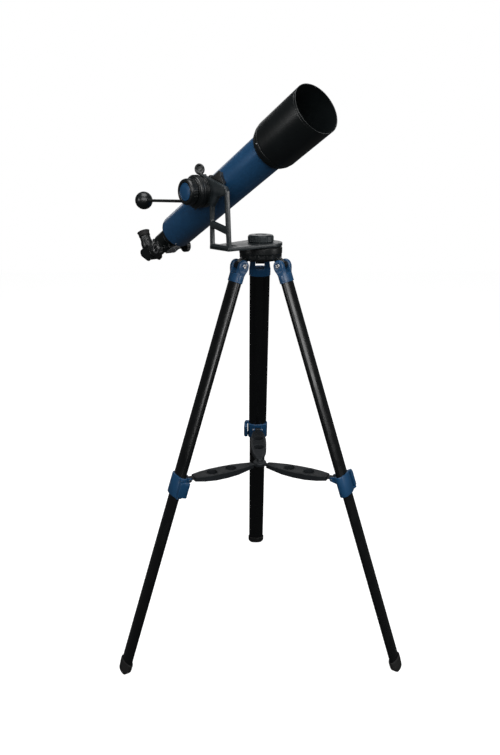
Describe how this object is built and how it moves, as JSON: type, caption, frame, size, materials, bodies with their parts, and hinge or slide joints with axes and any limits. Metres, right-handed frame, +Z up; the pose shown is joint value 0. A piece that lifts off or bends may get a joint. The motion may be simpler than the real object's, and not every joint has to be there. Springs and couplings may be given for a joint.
{
  "type": "refractor telescope on tripod",
  "caption": "Achromatic refracting telescope on a single-arm altitude-azimuth mount with pan handle, star diagonal, eyepiece and a spread aluminium tripod with accessory spreader.",
  "frame": {"origin": "on the floor, at the centre of the footprint box of the whole object", "axes": "+Z up; +Y towards the tripod's back leg; +X to the right as seen from in front of the two front legs; the tube points between +X and -Y"},
  "size_m": [0.8494, 0.7838, 1.5952],
  "materials": {
    "leg_black": "black anodised aluminium, satin",
    "tube_blue": "metallic blue lacquer on aluminium tube",
    "blue_plastic": "moulded blue plastic, satin gloss",
    "black_plastic": "moulded black plastic, fine grain",
    "black_metal": "satin black enamel on cast alloy",
    "bracket_grey": "dark grey crinkle enamel on cast alloy",
    "spreader_grey": "dark grey moulded plastic",
    "rubber": "matt black rubber",
    "steel": "zinc plated steel",
    "cover_grey": "bead blasted aluminium",
    "brass": "machined brass",
    "lens_glass": "coated optical glass",
    "mirror": "front surface mirror"
  },
  "bodies": {
    "tripod": {"tripod_head": "black_plastic", "azimuth_bolt": "steel", "hinge_bolts": "steel", "spreader_pins": "steel", "leg_cap_back": "blue_plastic", "upper_leg_back": "leg_black", "leg_clamp_back": "blue_plastic", "leg_cap_left": "blue_plastic", "upper_leg_left": "leg_black", "leg_clamp_left": "blue_plastic", "leg_cap_right": "blue_plastic", "upper_leg_right": "leg_black", "leg_clamp_right": "blue_plastic"},
    "lower_leg_back": {"lower_leg_back": "leg_black", "foot_back": "rubber"},
    "lower_leg_left": {"lower_leg_left": "leg_black", "foot_left": "rubber"},
    "lower_leg_right": {"lower_leg_right": "leg_black", "foot_right": "rubber"},
    "clamp_lever_back": {"clamp_lever_back": "blue_plastic"},
    "clamp_lever_left": {"clamp_lever_left": "blue_plastic"},
    "clamp_lever_right": {"clamp_lever_right": "blue_plastic"},
    "spreader_hub": {"spreader_hub": "spreader_grey"},
    "spreader_arm_back": {"spreader_arm_back": "spreader_grey"},
    "spreader_arm_left": {"spreader_arm_left": "spreader_grey"},
    "spreader_arm_right": {"spreader_arm_right": "spreader_grey"},
    "mount_arm": {"azimuth_bracket": "bracket_grey", "altitude_housing": "black_plastic"},
    "azimuth_knob": {"azimuth_knob": "bracket_grey"},
    "altitude_head": {"altitude_hub": "black_plastic", "altitude_axle": "steel", "handle_rod": "black_metal", "handle_ball": "black_plastic", "saddle": "black_metal"},
    "altitude_knob": {"altitude_knob": "black_plastic", "altitude_knob_cap": "blue_plastic"},
    "saddle_screw": {"saddle_thumbscrew": "black_plastic"},
    "optical_tube": {"dovetail_bar": "black_metal", "main_tube": "tube_blue", "dew_shield": "black_plastic", "lens_cell": "black_plastic", "crown_lens": "lens_glass", "flint_lens": "lens_glass", "retaining_ring": "black_metal", "tube_baffles": "black_metal", "focuser_body": "black_plastic", "pinion_cover": "cover_grey", "cover_screws": "steel"},
    "drawtube": {"drawtube": "black_metal", "focus_rack": "brass"},
    "focus_shaft": {"pinion_shaft": "steel", "focus_knobs": "black_plastic"},
    "focus_lock": {"focus_lock_screw": "black_plastic"},
    "drawtube_clamp": {"drawtube_screw": "black_plastic"},
    "diagonal": {"diagonal_housing": "black_plastic", "diagonal_mirror": "mirror"},
    "eyepiece_clamp": {"eyepiece_screw": "black_plastic"},
    "eyepiece": {"eyepiece_body": "black_plastic", "eyecup": "rubber", "eye_lens": "lens_glass"}
  },
  "joints": [
    {"name": "leg_back_extension", "type": "slide", "parent": "tripod", "child": "lower_leg_back", "axis": [0, 0.3246, -0.9459], "range_m": [-0.45, 0.02]},
    {"name": "leg_left_extension", "type": "slide", "parent": "tripod", "child": "lower_leg_left", "axis": [-0.2811, -0.1623, -0.9459], "range_m": [-0.45, 0.02]},
    {"name": "leg_right_extension", "type": "slide", "parent": "tripod", "child": "lower_leg_right", "axis": [0.2811, -0.1623, -0.9459], "range_m": [-0.45, 0.02]},
    {"name": "clamp_lever_back_flip", "type": "hinge", "parent": "tripod", "child": "clamp_lever_back", "pos_m": [-0.0396, 0.19794, 0.56049], "axis": [0, 0.3246, -0.9459], "range_deg": [0, 95]},
    {"name": "clamp_lever_left_flip", "type": "hinge", "parent": "tripod", "child": "clamp_lever_left", "pos_m": [-0.22668, -0.26328, 0.56049], "axis": [-0.2811, -0.1623, -0.9459], "range_deg": [0, 95]},
    {"name": "clamp_lever_right_flip", "type": "hinge", "parent": "tripod", "child": "clamp_lever_right", "pos_m": [0.26628, -0.19469, 0.56049], "axis": [0.2811, -0.1623, -0.9459], "range_deg": [0, 95]},
    {"name": "spreader_lock", "type": "slide", "parent": "tripod", "child": "spreader_hub", "axis": [0, 0, 1], "range_m": [0, 0.018]},
    {"name": "spreader_arm_back_pivot", "type": "hinge", "parent": "tripod", "child": "spreader_arm_back", "pos_m": [0, 0.15333, 0.567], "axis": [-1, 0, 0], "range_deg": [-1, 6]},
    {"name": "spreader_arm_left_pivot", "type": "hinge", "parent": "tripod", "child": "spreader_arm_left", "pos_m": [-0.20785, -0.20667, 0.567], "axis": [0.5, -0.866, 0], "range_deg": [-1, 6]},
    {"name": "spreader_arm_right_pivot", "type": "hinge", "parent": "tripod", "child": "spreader_arm_right", "pos_m": [0.20785, -0.20667, 0.567], "axis": [0.5, 0.866, 0], "range_deg": [-1, 6]},
    {"name": "azimuth", "type": "hinge", "parent": "tripod", "child": "mount_arm", "pos_m": [0, -0.08667, 1.211], "axis": [0, 0, 1], "continuous": true},
    {"name": "azimuth_knob_turn", "type": "hinge", "parent": "mount_arm", "child": "azimuth_knob", "pos_m": [0, -0.08667, 1.231], "axis": [0, 0, 1], "range_deg": [0, 360]},
    {"name": "altitude", "type": "hinge", "parent": "mount_arm", "child": "altitude_head", "pos_m": [-0.09995, -0.09113, 1.3555], "axis": [-0.7647, -0.6444, 0], "range_deg": [-49, 40.8]},
    {"name": "altitude_knob_turn", "type": "hinge", "parent": "altitude_head", "child": "altitude_knob", "pos_m": [-0.18789, -0.16523, 1.3555], "axis": [-0.7647, -0.6444, 0], "range_deg": [0, 360]},
    {"name": "saddle_screw_turn", "type": "hinge", "parent": "altitude_head", "child": "saddle_screw", "pos_m": [-0.15591, -0.10961, 1.3948], "axis": [-0.314, 0.3726, 0.8733], "range_deg": [0, 360]},
    {"name": "dovetail_slide", "type": "slide", "parent": "altitude_head", "child": "optical_tube", "axis": [0.5627, -0.6678, 0.4873], "range_m": [-0.03, 0.03]},
    {"name": "focus", "type": "slide", "parent": "optical_tube", "child": "drawtube", "axis": [-0.5627, 0.6678, -0.4873], "range_m": [0, 0.045]},
    {"name": "focus_knob_turn", "type": "hinge", "parent": "optical_tube", "child": "focus_shaft", "pos_m": [-0.26166, 0.10078, 1.18341], "axis": [-0.7647, -0.6444, 0], "range_deg": [-2, 471]},
    {"name": "focus_lock_turn", "type": "hinge", "parent": "optical_tube", "child": "focus_lock", "pos_m": [-0.26569, 0.10555, 1.25207], "axis": [-0.314, 0.3726, 0.8733], "range_deg": [0, 360]},
    {"name": "drawtube_screw_turn", "type": "hinge", "parent": "drawtube", "child": "drawtube_clamp", "pos_m": [-0.32314, 0.17373, 1.19431], "axis": [-0.314, 0.3726, 0.8733], "range_deg": [0, 360]},
    {"name": "diagonal_turn", "type": "hinge", "parent": "drawtube", "child": "diagonal", "pos_m": [-0.3166, 0.16597, 1.16791], "axis": [0.5627, -0.6678, 0.4873], "range_deg": [-90, 90]},
    {"name": "eyepiece_screw_turn", "type": "hinge", "parent": "diagonal", "child": "eyepiece_clamp", "pos_m": [-0.36072, 0.21833, 1.16749], "axis": [-0.5627, 0.6678, -0.4873], "range_deg": [0, 360]},
    {"name": "eyepiece_slide", "type": "slide", "parent": "diagonal", "child": "eyepiece", "axis": [-0.314, 0.3726, 0.8733], "range_m": [0, 0.02]}
  ],
  "couplings": [
    {"joint": "spreader_arm_back_pivot", "follows": "spreader_lock", "rad_per_m": 4.4409},
    {"joint": "spreader_arm_left_pivot", "follows": "spreader_lock", "rad_per_m": 4.4409},
    {"joint": "spreader_arm_right_pivot", "follows": "spreader_lock", "rad_per_m": 4.4409},
    {"joint": "focus_knob_turn", "follows": "focus", "rad_per_m": 181.82}
  ]
}
